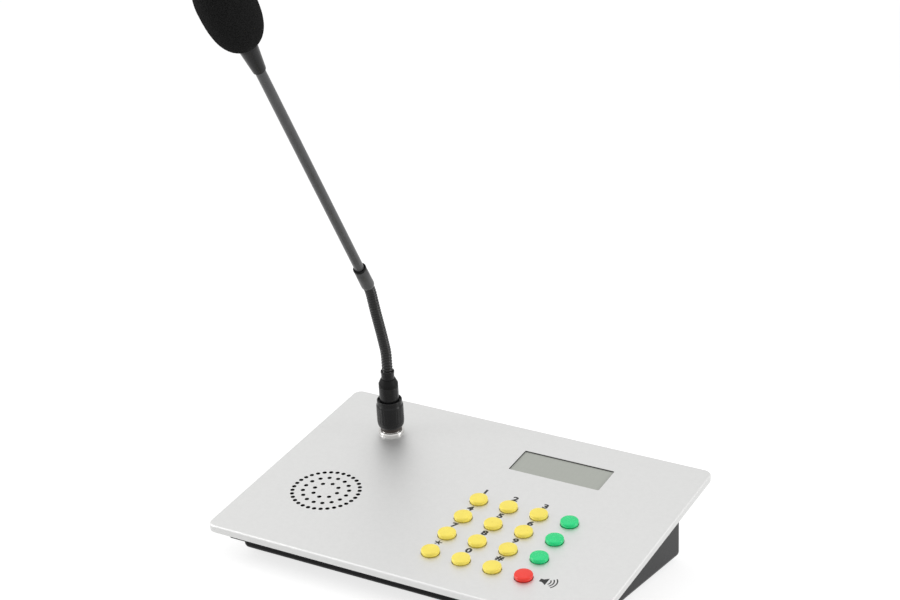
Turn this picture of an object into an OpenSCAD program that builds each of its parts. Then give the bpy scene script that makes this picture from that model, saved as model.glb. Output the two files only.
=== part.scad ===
// Desktop paging microphone: a sloping console with a keypad, a display, a
// loudspeaker and a plug-in flexible microphone.
// The origin lies on the table, under the middle of the top panel. X runs to
// the right, Y to the back, Z up. The panel has a frame of its own: u to the
// right, v to the back and n out of its face, from the middle of that face.

/* [Panel] */
// Width of the top panel
panel_w = 276.4; // [262:0.2:330]
// Depth of the top panel, measured along its slope
panel_d = 194.4; // [188:0.2:240]
// Thickness of the panel's border
panel_t = 5; // [5:0.5:9]
// Thickness of the thin middle of the panel
web_t = 2.5; // [2:0.1:3.2]
// Radius of the panel's corners, seen from above
panel_r = 6; // [2.5:0.5:12]
// Radius of the panel's upper edge
panel_edge_r = 1.2; // [0.6:0.2:2.2]
// Slope of the panel
tilt = 12.8; // [9:0.2:15]
// Height of the panel's middle above the underside of the case
console_h = 41; // [39:0.5:60]

/* [Case] */
// Width of the case
case_w = 245.4; // [238:0.2:256]
// Overhang of the panel in front of the case
front_overhang = 16.2; // [16:0.2:21]
// Overhang of the panel behind the case
back_overhang = 18.8; // [13:0.2:19.6]
// Wall thickness of the case
wall = 2.5; // [2:0.1:3]
// Thickness of the rim that holds the bottom plate
floor_t = 3.2; // [3:0.1:4.5]
// Radius of the case's corners and lower edges
case_r = 4; // [3:0.5:5]
// Thickness of the lip under the front of the panel
lip_t = 1.5; // [0.8:0.1:1.5]
// How far the lip stays back from the panel's front edge
lip_inset = 1; // [1:0.1:8]
// Thickness of the bottom plate
plate_t = 1.2; // [1:0.1:1.6]
// Gap round the bottom plate
plate_gap = 0.3; // [0.2:0.1:0.8]
// Height of the rubber feet
foot_h = 2.5; // [2.3:0.1:2.7]
// Diameter of the rubber feet
foot_d = 16; // [10:1:18]

/* [Keys] */
// Distance between neighbouring keys
key_pitch = 22; // [21:0.1:23]
// Columns of keys
key_cols = 4; // [4]
// Rows of keys
key_rows = 4; // [4]
// Place of the first column, along u
key_u = 12.1; // [9:0.1:14]
// Distance of the front row from the panel's front edge
key_front = 31.6; // [31:0.1:33]
// Diameter of a key cap
key_d = 12; // [10:0.1:12.6]
// How far a key stands above the panel
key_proud = 3.1; // [2.4:0.1:3.6]
// Rounding of the key's top edge
key_edge_r = 1; // [0.4:0.1:1.4]
// How far a key goes down
key_travel = 0.8; // [0.4:0.1:1.1]
// Gap round a key cap
key_gap = 0.25; // [0.2:0.05:0.4]

/* [Display] */
// Width of the display window
win_w = 66.7; // [58:0.1:70]
// Height of the display window, along v
win_h = 25.9; // [20:0.1:26.4]
// Place of the window's middle, along u
win_u = 44.9; // [42:0.1:47]
// Distance of the window's middle from the panel's back edge
win_back = 39.9; // [38.4:0.1:40.6]
// Radius of the window's corners
win_r = 1; // [0.5:0.1:2]
// Thickness of the clear window's rim behind the panel
lens_t = 1.5; // [1:0.1:2]
// How deep the window's face lies below the panel's face
win_recess = 0.8; // [0.4:0.1:1.8]

/* [Speaker] */
// Distance of the speaker's middle from the case's left side
spk_side = 35.2; // [32.5:0.1:40]
// Distance of the speaker's middle from the panel's front edge
spk_front = 67.5; // [65:0.1:77]
// Diameter of a sound hole
sound_d = 3; // [1.6:0.1:3]
// Thickness of the panel round the sound holes
sound_web = 0.8; // [0.8:0.1:1.6]
// Radius of the innermost ring of sound holes
ring_r = 8.6; // [7:0.1:9]
// Distance between the rings of sound holes
ring_step = 7.05; // [6:0.05:7.2]
// Width of the speaker's square flange
spk_w = 52; // [50:0.5:53]
// Depth of the speaker behind its flange
spk_depth = 19; // [16:0.5:20]

/* [Microphone stem] */
// Distance of the microphone socket from the case's left side
sock_side = 36.8; // [31:0.1:40]
// Distance of the microphone socket from the panel's back edge
sock_back = 41.5; // [39:0.1:49]
// Diameter of the lock ring
lock_d = 18.9; // [18.2:0.1:20]
// Diameter of the plug's body
plug_d = 13.6; // [13.4:0.1:14]
// Height of the top of the plug's body above the panel
plug_top = 42.5; // [42:0.5:48]
// Height of the ferrule above the plug's body
ferrule_h = 6; // [5:0.1:9]
// Diameter of the ferrule
ferrule_d = 9.5; // [9:0.1:11]
// Diameter of the flexible neck
neck_d = 7.6; // [7:0.1:7.8]
// Distance from the ferrule to the neck's first bending point
neck_free = 14; // [4:0.5:16]
// Distance between the neck's bending points
link_l = 9.5; // [9:0.1:12]
// Lean of the neck after its first bending point
lean_1 = 14.5; // [0:0.5:20]
// Lean of the neck after its third bending point
lean_2 = 16; // [0:0.5:30]
// Lean of the neck after its fifth bending point
lean_3 = 14; // [0:0.5:35]
// Lean of the rod
lean_4 = 28.4; // [0:0.1:40]
// Most that two neighbouring links can bend
bend_limit = 22; // [10:1:22]
// Diameter of the rod
rod_d = 6.6; // [6:0.1:6.8]
// Distance from the last bending point to the collar
collar_start = 4.6; // [4.5:0.1:8]
// Length of the collar
collar_l = 20; // [16:0.5:26]
// Diameter of the collar
collar_d = 9.1; // [8.4:0.1:10]
// Distance from the last bending point to the top of the rod
rod_top = 220; // [150:1:280]
// Diameter of the capsule housing
head_d = 12; // [11:0.1:13]
// Length of the housing's cone
cone_l = 19.5; // [14:0.5:22]
// Length of the housing's straight part
head_l = 33; // [28:0.5:40]

/* [Windscreen] */
// Distance from the top of the rod to the foam
foam_start = 22; // [20:0.5:26]
// Diameter of the foam windscreen
foam_d = 34.6; // [26:0.2:42]
// Length of the foam below its widest place
foam_low = 36; // [30:0.5:44]
// Length of the foam above its widest place
foam_high = 28.5; // [22:0.5:34]

/* [Hidden] */
$fn = 48;
eps = 0.01;
fit = 0.1;                                  // radial gap of a turning or sliding fit
loose = 0.2;                                // gap round a piece that only passes through
hair = 0.04;                                // gap between two pieces held as one
panel_z = foot_h + console_h;               // height of the middle of the panel's face
key_v = key_front + (key_rows - 1) * key_pitch - panel_d / 2; // the back row
win_v = panel_d / 2 - win_back;
spk_u = spk_side - case_w / 2;
spk_v = spk_front - panel_d / 2;
sock_u = sock_side - case_w / 2;
sock_v = panel_d / 2 - sock_back;
key_hole_r = key_d / 2 + key_gap;
key_flange_r = key_hole_r + 1.1;
key_flange_t = 1;
key_neck_r = key_d / 2 - 0.4;                // the cap where it runs in its hole
key_flange_n = -web_t - 0.15;               // top of the flange that keeps the key in
plunger_r = 1.7;
plunger_in = 1.2;                           // depth of the plunger's seat in the cap
switch_w = 12;
switch_n = key_flange_n - key_flange_t - key_travel - 0.25;
switch_h = 5;
board_t = 1.6;
key_board_n = switch_n - switch_h;          // top of the key board
key_board_u = key_u - 9.7;
key_board_w = (key_cols - 1) * key_pitch + 19.4;
key_board_v = key_v - (key_rows - 1) * key_pitch - 6.3;
key_board_d = (key_rows - 1) * key_pitch + 15;
pad_r = 7;                                  // pads that take the case's screws
boss_r = 2.9;
screw_r = 1.5;
screw_l = 5.5;
screw_hole_r = 1.6;
head_r = 2.75;
head_h = 1.9;
cut_gap = 3;                                // border of the cavity inside the case wall
front_v = -panel_d / 2 + front_overhang;    // outside of the case's front wall
back_v = panel_d / 2 - back_overhang;       // outside of the case's back wall
cavity_u = case_w / 2 - wall - cut_gap;
cavity_front = min(front_v + wall + cut_gap, key_v - (key_rows - 1) * key_pitch - key_flange_r - 0.4);
cavity_back = back_v - wall - 1.2;
pad_u = case_w / 2 - wall - 9;
pad_front = front_v + wall + 8.3;
pad_back = back_v - wall - 8;
pad_mid_u = -20;
PADS = [[-pad_u, pad_front], [pad_u, pad_front], [-pad_u, pad_back],
        [pad_u, pad_back], [pad_mid_u, pad_front], [pad_mid_u, pad_back]];
lug_t = 4;
lug_w = 14;
lens_n = -web_t;
lens_rim = 3;
cell_t = 2.8;
frame_rim = 4;
frame_h = 5;
frame_n = lens_n - lens_t;
show_board_n = frame_n - frame_h;           // top of the display's board
show_board_w = win_w + 20.3;
show_board_d = win_h + 7.7;
show_screw_u = win_w / 2 + 7.2;
show_screw_v = win_h / 2 + 1;
spk_flange_n = -6;
spk_flange_t = 1.2;
spk_screw = spk_w / 2 - 4;
magnet_r = 15.5;
magnet_h = 7;
sock_flange_r = 9;
sock_flange_t = 2.2;
sock_thread_r = 7.7;
sock_bore_r = 6.2;
sock_collar_r = 7.3;
sock_top = 11.5;
sock_low = -14;
nut_t = 3;
plug_skirt_r = sock_bore_r - fit;
plug_skirt_low = -8;
keeper_r = sock_collar_r;                   // flange of the plug that the lock ring pulls on
keeper_n = sock_top + 0.6;
keeper_t = 1.4;
lock_low = 5.4;
lock_top = 26.2;
pin_r = 1.2;
pin_circle = 3.2;
pin_l = 8;
neck_r = neck_d / 2;
ferrule_top = plug_top + ferrule_h;
neck_start = ferrule_top + neck_free;       // height of the first bending point above the panel
cup_gap = 0.2;
cup_cut = neck_r * sin(bend_limit) + 0.6;   // height at which a link's cup stops
cable_r = 0.9;
cable_bore_r = 1.6;
LEAN = [0, lean_1, lean_1, lean_2, lean_2, lean_3, lean_3, lean_4];
rod_bore_r = rod_d / 2 - 0.6;
collar_in = 4;                              // how far the neck reaches into the collar
rod_in = 8;                                 // how far the rod reaches into the housing
cable_in = 20;                              // how far the cable reaches into the housing
housing_step = 0.9;                         // how far the housing stands out round the rod
capsule_l = 8;
capsule_gap = 2;                            // distance of the capsule from the housing's end
head_wall = 0.8;
grille_h = 6;
plate_top = foot_h + plate_t;
main_z = plate_top + 5;                     // underside of the main board
main_x = -58;
main_w = 150;
main_d = 78;
board_back = 7.6;                           // how far the sockets stand out over the board's edge
spacer_r = 3;
hole_in = 5;                                // distance of the board's holes from its edges
hole_back = 11;                             // distance of the back holes from the back edge

// place of bending point k in the panel's v and n, counted from 1
function hinge_v(k) = k <= 1 ? sock_v : hinge_v(k - 1) - link_l * sin(LEAN[k - 1]);
function hinge_n(k) = k <= 1 ? neck_start : hinge_n(k - 1) + link_l * cos(LEAN[k - 1]);

// points of a round corner with centre c, from angle a to angle b
function arc(c, r, a, b, steps = 6) =
    [for (i = [0:steps]) c + r * [cos(a + (b - a) * i / steps), sin(a + (b - a) * i / steps)]];

// distance of the case's back wall from the middle, at height z, outside
function rear_y(z) =
    back_v * cos(tilt) - sin(tilt) * ((z - panel_z - back_v * sin(tilt)) / cos(tilt));

// n of a point at place v that lies at the height lift above the underside of the case
function case_low(v, lift) = (foot_h + lift - panel_z - v * sin(tilt)) / cos(tilt);

// place of a point of the panel's frame in the part's frame
function place(u, v, n) =
    [u, v * cos(tilt) - n * sin(tilt), panel_z + v * sin(tilt) + n * cos(tilt)];

function yz(p) = [p[1], p[2]];

plate_w = case_w - 2 * (wall + 5);
plate_front = front_v * cos(tilt) - sin(tilt) * case_low(front_v, 0) + wall + 6;
plate_back = rear_y(foot_h) - wall - 8;
plate_mid = (plate_front + plate_back) / 2;
plate_d = plate_back - plate_front;
ledge = 7;                                  // width of the rim under the bottom plate
bottom_boss_h = main_z - plate_top - 1;
bottom_screw_x = plate_w / 2 - 4;
bottom_screw_y = plate_d / 2 - 4;
foot_x = plate_w / 2 - 18;
foot_y = plate_d / 2 - 18;
board_top = main_z + board_t;
socket_y = rear_y(board_top) - 0.5;         // the face of the sockets at the back
main_y = socket_y - main_d - board_back;
header_x = 40;
header_w = 24;
header_d = 4;
header_h = 3;
header_key_y = main_y + 12;
header_show_y = main_y + 24;
ribbon_w = 18;
ribbon_t = 0.6;
chip_big = 20;
chip_mid = 12;
chip_small = 10;
chip_t = 1.6;
cap_r = 4;
cap_h = 9;
wire_plug_w = 8;
wire_plug_d = 5;
wire_plug_h = 5;
spk_plug = [main_x + 20, main_y + 22];      // plugs of the speaker's and the microphone's wires
mic_plug = [main_x + 14, main_y + 58];
wire_rise = 9;
wire_end = board_top + wire_plug_h + 0.75;
net_w = 16;
net_d = 21.5;
net_h = 13.5;
net_x = 58;
net_hole = [11.9, 13, 7];
pow_w = 9;
pow_d = 14;
pow_h = 11;
pow_x = 20;
pow_r = 3.2;
pow_pin_r = 1;
aud_w = 8;
aud_d = 14;
aud_h = 7;
aud_x = -12;
aud_r = 1.8;
gasket_in = ring_r + 2 * ring_step + sound_d / 2 + 0.3;
gasket_w = 1.5;
cloth_t = 0.4;                              // cloth that keeps dust out of the speaker
cone_r = 22.4;
plug_neck_n = 38;                           // top of the hollow in the plug
spigot_r = 4.2;                             // lower part of the ferrule, held in the plug
foam_gap = 0.3;

// half width of the foam at height h above its lower end
function foam_r(h) = h < foam_low
    ? foam_d / 2 * pow(1 - pow((foam_low - h) / foam_low, 2.8), 1 / 2.8)
    : foam_d / 2 * sqrt(max(0, 1 - pow((h - foam_low) / foam_high, 2)));

// the rounding steps are even in angle, so the ends stay round
foam_heights = [for (i = [1:12]) foam_low * (1 - cos(i * 7.5)),
                for (i = [1:11]) foam_low + foam_high * sin(i * 7.5)];

module on_panel() translate([0, 0, panel_z]) rotate([tilt, 0, 0]) children();

module on_socket() on_panel() translate([sock_u, sock_v, 0]) children();

// the frame of link k: its lower bending point, with Z along the link
module on_link(k)
    on_panel() translate([sock_u, hinge_v(k), hinge_n(k)]) rotate([LEAN[k], 0, 0]) children();

module rounded(w, d, r) {
    square([w - 2 * r, d], center = true);
    square([w, d - 2 * r], center = true);
    for (x = [-1, 1], y = [-1, 1])
        translate([x * (w / 2 - r), y * (d / 2 - r)]) circle(r);
}

module plate(w, d, r, h) linear_extrude(h) rounded(w, d, r);

module tube(r_out, r_in, h) difference() {
    cylinder(r = r_out, h = h);
    translate([0, 0, -1]) cylinder(r = r_in, h = h + 2);
}

module at_keys() for (c = [0:key_cols - 1], r = [0:key_rows - 1])
    translate([key_u + c * key_pitch, key_v - r * key_pitch, 0]) children();

module at_key_screws() for (c = [0.5, 2.5], r = [0.5, 2.5])
    translate([key_u + c * key_pitch, key_v - r * key_pitch, 0]) children();

module at_display_screws() for (x = [-1, 1], y = [-1, 1])
    translate([win_u + x * show_screw_u, win_v + y * show_screw_v, 0]) children();

module at_speaker_screws() for (x = [-1, 1], y = [-1, 1])
    translate([spk_u + x * spk_screw, spk_v + y * spk_screw, 0]) children();

module at_pads() for (p = PADS) translate([p[0], p[1], 0]) children();

module at_board_holes() for (x = [hole_in, main_w - hole_in], y = [hole_in, main_d - hole_back])
    translate([main_x + x, main_y + y, 0]) children();

module panel_corner() {
    cylinder(r = panel_r, h = panel_t - panel_edge_r, $fn = 32);
    rotate_extrude($fn = 32) polygon(concat(
        [[0, 0], [panel_r, 0]],
        arc([panel_r - panel_edge_r, panel_t - panel_edge_r], panel_edge_r, 0, 90),
        [[0, panel_t]]));
}

module panel_blank() hull() for (x = [-1, 1], y = [-1, 1])
    translate([x * (panel_w / 2 - panel_r), y * (panel_d / 2 - panel_r), -panel_t]) panel_corner();

module panel_cavity() difference() {
    translate([0, (cavity_front + cavity_back) / 2, -panel_t - 10])
        plate(2 * cavity_u, cavity_back - cavity_front, 4, panel_t + 10 - web_t);
    at_pads() translate([0, 0, -panel_t - 20]) cylinder(r = pad_r, h = 30);
}

module sound_holes() for (k = [0:2], i = [0:8 * pow(2, k) - 1])
    rotate(i * 360 / (8 * pow(2, k))) translate([ring_r + k * ring_step, 0, -web_t - 1])
        cylinder(d = sound_d, h = web_t + 2, $fn = 24);

module boss(depth) translate([0, 0, -depth]) cylinder(r = boss_r, h = depth - web_t + 0.5);

module screw_hole(low, high) translate([0, 0, low]) cylinder(r = screw_hole_r, h = high - low);

module top_panel() color("gainsboro") on_panel() difference() {
    union() {
        difference() {
            panel_blank();
            panel_cavity();
        }
        at_key_screws() boss(-key_board_n);
        at_display_screws() boss(-show_board_n);
        at_speaker_screws() boss(-spk_flange_n);
    }
    at_keys() translate([0, 0, -panel_t]) cylinder(r = key_hole_r, h = panel_t + 1);
    translate([spk_u, spk_v, -panel_t]) cylinder(r = gasket_in + gasket_w + loose, h = panel_t - sound_web);
    translate([win_u, win_v, -web_t - 1]) plate(win_w, win_h, win_r, web_t + 2);
    translate([spk_u, spk_v, 0]) sound_holes();
    translate([sock_u, sock_v, -panel_t]) cylinder(r = sock_thread_r + loose, h = panel_t + 1);
    at_pads() screw_hole(-panel_t - 1, -1.2);
    at_key_screws() screw_hole(key_board_n - 1, -web_t);
    at_display_screws() screw_hole(show_board_n - 1, -web_t);
    at_speaker_screws() screw_hole(spk_flange_n - 1, -1.2);
}

module case_form(inset, lift, over) {
    r = case_r - inset / 2;
    us = case_w / 2 - inset - r;
    v_front = front_v + inset + r;
    v_back = back_v - inset - r;
    hull() for (x = [-1, 1], v = [v_front, v_back]) {
        translate([x * us, v, -panel_t - 1]) cylinder(r = r, h = 1 + over, $fn = 32);
        translate([x * us, v, case_low(v, lift + r)]) sphere(r, $fn = 32);
    }
}

module at_bottom_screws() for (x = [-1, 0, 1], y = [-1, 1])
    translate([x * bottom_screw_x, plate_mid + y * bottom_screw_y, 0]) children();

module lug() translate([-lug_w / 2, -lug_w / 2, -panel_t - lug_t]) cube([lug_w, lug_w, lug_t]);

module case_lugs() intersection() {
    union() {
        for (s = [-1, 1], v = [pad_front, pad_back])
            translate([s * pad_u, v, 0]) hull() {
                lug();
                translate([s * 10, 0, 0]) lug();
            }
        for (v = [pad_front, pad_back]) translate([pad_mid_u, v, 0]) {
            lug();
            translate([0, v < 0 ? -4 : 4, 0]) lug();
        }
    }
    translate([0, 0, -panel_t - 50]) linear_extrude(50)
        translate([0, (front_v + back_v) / 2])
            square([case_w - wall, back_v - front_v - wall], center = true);
}

module case_shell() color([0.1, 0.1, 0.1]) difference() {
    union() {
        on_panel() {
            difference() {
                case_form(0, 0, 0);
                case_form(wall, floor_t, 3);
            }
            case_lugs();
            translate([0, (front_v - panel_d / 2 + lip_inset) / 2 + wall / 4, -panel_t - lip_t])
                plate(case_w - 2, front_overhang - lip_inset + wall / 2, 2, lip_t);
        }
        at_bottom_screws() translate([0, 0, plate_top]) cylinder(r = 4, h = bottom_boss_h);
    }
    translate([0, plate_mid, -5]) plate(plate_w, plate_d, 4, 5 + plate_top);
    difference() {
        translate([0, plate_mid, -5])
            plate(plate_w - 2 * ledge, plate_d - 2 * ledge, 3, 5 + foot_h + floor_t + 0.5);
        at_bottom_screws() translate([0, 0, plate_top]) cylinder(r = 4, h = bottom_boss_h);
    }
    at_bottom_screws() translate([0, 0, plate_top - 1]) cylinder(r = screw_hole_r, h = 7);
    on_panel() at_pads() screw_hole(-panel_t - lug_t - 1, -panel_t + 1);
    rear_cuts();
}

module bottom_plate() color([0.16, 0.16, 0.17]) difference() {
    union() {
        translate([0, plate_mid, foot_h])
            plate(plate_w - 2 * plate_gap, plate_d - 2 * plate_gap, 4 - plate_gap, plate_t);
        at_board_holes() translate([0, 0, foot_h + plate_t / 2])
            cylinder(r = spacer_r, h = main_z - foot_h - plate_t / 2);
    }
    at_bottom_screws() translate([0, 0, foot_h - 1]) cylinder(r = screw_hole_r, h = plate_t + 2);
    at_board_holes() translate([0, 0, plate_top + 0.2]) cylinder(r = screw_hole_r, h = 10);
}

module rubber_feet() color([0.12, 0.12, 0.12]) for (x = [-1, 1], y = [-1, 1])
    translate([x * foot_x, plate_mid + y * foot_y, 0]) rotate_extrude() polygon([
        [0, 0], [foot_d / 2 - 0.6, 0], [foot_d / 2, 0.6], [foot_d / 2, foot_h], [0, foot_h]]);

// a screw with its shank along Z and its head below
module screw() difference() {
    union() {
        translate([0, 0, -head_h]) rotate_extrude() polygon(concat(
            [[0, 0], [head_r - 0.8, 0]], arc([head_r - 0.8, 0.8], 0.8, -90, 0, 4),
            [[head_r, head_h], [0, head_h]]));
        cylinder(r = screw_r, h = screw_l);
    }
    for (a = [0, 90]) rotate(a) translate([-1.5, -0.3, -head_h - 1]) cube([3, 0.6, 2]);
}

module bottom_screws() color("dimgray") at_bottom_screws() translate([0, 0, foot_h]) screw();

module inner_screws() color("silver") {
    on_panel() {
        at_pads() translate([0, 0, -panel_t - lug_t]) screw();
        at_key_screws() translate([0, 0, key_board_n - board_t]) screw();
        at_display_screws() translate([0, 0, show_board_n - board_t]) screw();
        at_speaker_screws() translate([0, 0, spk_flange_n - spk_flange_t]) screw();
    }
    at_board_holes() translate([0, 0, main_z + board_t]) mirror([0, 0, 1]) screw();
}

module on_display(n) on_panel() translate([win_u, win_v, n]) children();

// the clear window: its face fills the opening, and its rim lies behind the panel
module display_lens() color([0.75, 0.78, 0.72]) on_display(lens_n - lens_t) {
    plate(win_w + 2 * lens_rim, win_h + 2 * lens_rim, 1, lens_t);
    plate(win_w - 2 * loose, win_h - 2 * loose, max(win_r - loose, 0.2), lens_t + web_t - win_recess);
}

module display_cell() color([0.66, 0.68, 0.62]) on_display(frame_n - 0.6 - cell_t)
    plate(win_w + 1.6, win_h + 1.6, 0.5, cell_t);

module display_frame() color("silver") on_display(show_board_n) difference() {
    plate(win_w + 2 * frame_rim, win_h + 2 * frame_rim, 1, frame_h);
    translate([0, 0, -1]) plate(win_w + 2, win_h + 2, 0.5, frame_h + 0.45);
    plate(win_w + 0.8, win_h + 0.8, 0.5, frame_h + 1);
}

module display_board() color("seagreen") on_panel() difference() {
    translate([win_u, win_v, show_board_n - board_t]) plate(show_board_w, show_board_d, 1.5, board_t);
    at_display_screws() screw_hole(show_board_n - board_t - 1, show_board_n + 1);
}

module key_board() color("seagreen") on_panel() difference() {
    translate([key_board_u + key_board_w / 2, key_board_v + key_board_d / 2, key_board_n - board_t])
        plate(key_board_w, key_board_d, 2, board_t);
    at_key_screws() screw_hole(key_board_n - board_t - 1, key_board_n + 1);
}

module key_switches() color([0.2, 0.2, 0.22]) on_panel() at_keys() difference() {
    translate([-switch_w / 2, -switch_w / 2, key_board_n]) cube([switch_w, switch_w, switch_h]);
    translate([0, 0, key_board_n + 1]) cylinder(r = plunger_r + fit, h = switch_h);
}

// one key: the cap, and the switch's plunger that is clipped into it
module key(c, r) on_panel() translate([key_u + c * key_pitch, key_v - r * key_pitch, 0]) {
    low = key_flange_n - key_flange_t;
    rotate_extrude() polygon(concat(
        [[0, low + plunger_in + hair], [plunger_r + hair, low + plunger_in + hair],
         [plunger_r + hair, low], [key_flange_r, low], [key_flange_r, key_flange_n],
         [key_neck_r, key_flange_n], [key_neck_r, 0], [key_d / 2 - 0.1, 0.3], [key_d / 2, 0.6]],
        arc([key_d / 2 - key_edge_r, key_proud - key_edge_r], key_edge_r, 0, 75, 5),
        [[key_d / 4, key_proud + 0.15], [0, key_proud + 0.2]]));
    translate([0, 0, key_board_n + 1 + key_travel + 0.3])
        cylinder(r = plunger_r, h = low + plunger_in - key_board_n - 1 - key_travel - 0.3);
}

module main_board() color("seagreen") difference() {
    translate([main_x + main_w / 2, main_y + main_d / 2, main_z]) plate(main_w, main_d, 2, board_t);
    at_board_holes() translate([0, 0, main_z - 1]) cylinder(r = screw_hole_r, h = board_t + 2);
}

module chip(x, y, w, d, h) translate([x - w / 2, y - d / 2, board_top]) cube([w, d, h]);

module board_parts() color([0.15, 0.15, 0.16]) {
    chip(main_x + main_w / 2 - 5, main_y + main_d / 2 + 1, chip_big, chip_big, chip_t);
    chip(main_x + main_w * 2 / 3, main_y + main_d / 2 + 3, chip_mid, chip_mid * 1.5, chip_t);
    chip(main_x + main_w / 4, main_y + main_d / 2 + 5, chip_small, chip_small, chip_t);
    chip(main_x + main_w - 32, main_y + main_d * 2 / 3, chip_mid, chip_mid, 3 * chip_t);
    chip(spk_plug[0], spk_plug[1], wire_plug_w, wire_plug_d, wire_plug_h);
    chip(mic_plug[0], mic_plug[1], wire_plug_d, wire_plug_w, wire_plug_h);
    for (y = [header_show_y, header_key_y]) chip(header_x, y, header_w, header_d, header_h);
    for (x = [main_w - 12, main_w - 24, 24, 34])
        translate([main_x + x, main_y + 32, board_top]) cylinder(r = cap_r, h = cap_h);
}

// a flat ribbon of width w through points given as Y and Z
module ribbon(points, w, t) {
    for (i = [0:len(points) - 2]) {
        step = points[i + 1] - points[i];
        translate([header_x - w / 2, points[i][0], points[i][1]])
            rotate([atan2(step[1], step[0]), 0, 0]) translate([0, 0, -t / 2]) cube([w, norm(step), t]);
    }
    for (p = points) translate([header_x - w / 2 - 0.1, p[0], p[1]]) rotate([0, 90, 0])
        cylinder(r = t / 2 + 0.05, h = w + 0.2, $fn = 16);
}

// a round wire through points in space
module wire(points, r) for (i = [0:len(points) - 2]) hull() {
    translate(points[i]) sphere(r, $fn = 10);
    translate(points[i + 1]) sphere(r, $fn = 10);
}

module inner_wires() color([0.75, 0.2, 0.15]) {
    under_show = yz(place(0, win_v - 8, show_board_n - board_t - ribbon_t / 2 - 0.05));
    under_keys = yz(place(0, key_v + 2, key_board_n - board_t - ribbon_t / 2 - 0.05));
    ribbon([under_show, under_show - [1, 6], [header_show_y + 3, board_top + header_h + 7],
            [header_show_y, board_top + header_h + ribbon_t / 2 + 0.05]], ribbon_w, ribbon_t);
    ribbon([under_keys, under_keys - [-2, 6], [header_key_y + 3, board_top + header_h + 6],
            [header_key_y, board_top + header_h + ribbon_t / 2 + 0.05]], ribbon_w, ribbon_t);
    for (s = [-1, 1]) {
        wire([place(spk_u + 19.5 + s, spk_v + 8 + 2 * s, -16.5), place(spk_u + 26, spk_v + 14 + 2 * s, -20),
              [spk_plug[0] - 2 - 2 * s, spk_plug[1] - 6, board_top + wire_rise],
              [spk_plug[0] - 2 * s, spk_plug[1], wire_end]], 0.7);
        wire([place(sock_u + 1.5 * s, sock_v, sock_low - 9.5), place(sock_u + 4, sock_v + 1.5 * s, -30),
              [mic_plug[0] - 8, mic_plug[1] + 1.5 * s, board_top + wire_rise],
              [mic_plug[0], mic_plug[1] + 1.5 * s, wire_end]], 0.7);
    }
}

// the three sockets at the back stand on the main board
module network_socket() color([0.72, 0.72, 0.74]) translate([net_x, socket_y, board_top]) difference() {
    translate([-net_w / 2, -net_d, 0]) cube([net_w, net_d, net_h]);
    translate([-net_hole[0] / 2, -net_hole[1], 2]) cube([net_hole[0], net_hole[1] + 1, net_hole[2]]);
    translate([-3.1, -net_hole[1], 2 + net_hole[2] - 0.5]) cube([6.2, net_hole[1] + 1, 2.6]);
}

module power_socket() color([0.1, 0.1, 0.1]) translate([pow_x, socket_y, board_top]) {
    difference() {
        translate([-pow_w / 2, -pow_d, 0]) cube([pow_w, pow_d, pow_h]);
        translate([0, 1, pow_h / 2 + 0.5]) rotate([90, 0, 0]) cylinder(r = pow_r, h = 10.5);
    }
    translate([0, -0.6, pow_h / 2 + 0.5]) rotate([90, 0, 0]) cylinder(r = pow_pin_r, h = 10);
}

module audio_socket() color([0.1, 0.1, 0.1]) translate([aud_x, socket_y, board_top]) difference() {
    union() {
        translate([-aud_w / 2, -aud_d, 0]) cube([aud_w, aud_d - 2.5, aud_h]);
        translate([0, 0, aud_h / 2]) rotate([90, 0, 0]) cylinder(r = 3, h = 4);
    }
    translate([0, 1, aud_h / 2]) rotate([90, 0, 0]) cylinder(r = aud_r, h = aud_d - 1);
}

module rear_cut(x, w, h) translate([x - w / 2 - loose, plate_back - 12, board_top - loose])
    cube([w + 2 * loose, 60, h + 2 * loose]);

module rear_cuts() {
    rear_cut(net_x, net_w, net_h);
    rear_cut(pow_x, pow_w, pow_h);
    rear_cut(aud_x, aud_w, aud_h);
}

module on_speaker() on_panel() translate([spk_u, spk_v, 0]) children();

// a ring with a cloth across its top
module speaker_gasket() color([0.1, 0.1, 0.1]) on_speaker() {
    translate([0, 0, spk_flange_n])
        tube(gasket_in + gasket_w, gasket_in, -spk_flange_n - sound_web - cloth_t / 2);
    translate([0, 0, -sound_web - cloth_t]) cylinder(r = gasket_in + gasket_w, h = cloth_t);
}

module speaker_frame() color([0.3, 0.3, 0.32]) on_speaker() {
    back = spk_flange_n - spk_depth + magnet_h;
    difference() {
        union() {
            translate([0, 0, spk_flange_n - spk_flange_t]) plate(spk_w, spk_w, 4, spk_flange_t);
            rotate_extrude() polygon([
                [cone_r + 1.6, spk_flange_n - 0.5], [cone_r + 1.6, spk_flange_n - 4],
                [magnet_r - 1, back + 1.2], [magnet_r - 1, back], [8, back], [8, back + 1.2],
                [magnet_r - 2.2, back + 1.2], [cone_r + 0.6, spk_flange_n - 3.6],
                [cone_r + 0.6, spk_flange_n - 0.5]]);
        }
        translate([0, 0, spk_flange_n - 3]) cylinder(r = cone_r + 0.6, h = 6);
        for (x = [-1, 1], y = [-1, 1]) translate([x * spk_screw, y * spk_screw, 0])
            screw_hole(spk_flange_n - 3, spk_flange_n + 1);
        for (a = [45:90:315]) rotate(a) translate([magnet_r + 1.5, 0, spk_flange_n - spk_depth + magnet_h])
            cylinder(r = 2.2, h = spk_depth - magnet_h - 3.5);
    }
}

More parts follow.
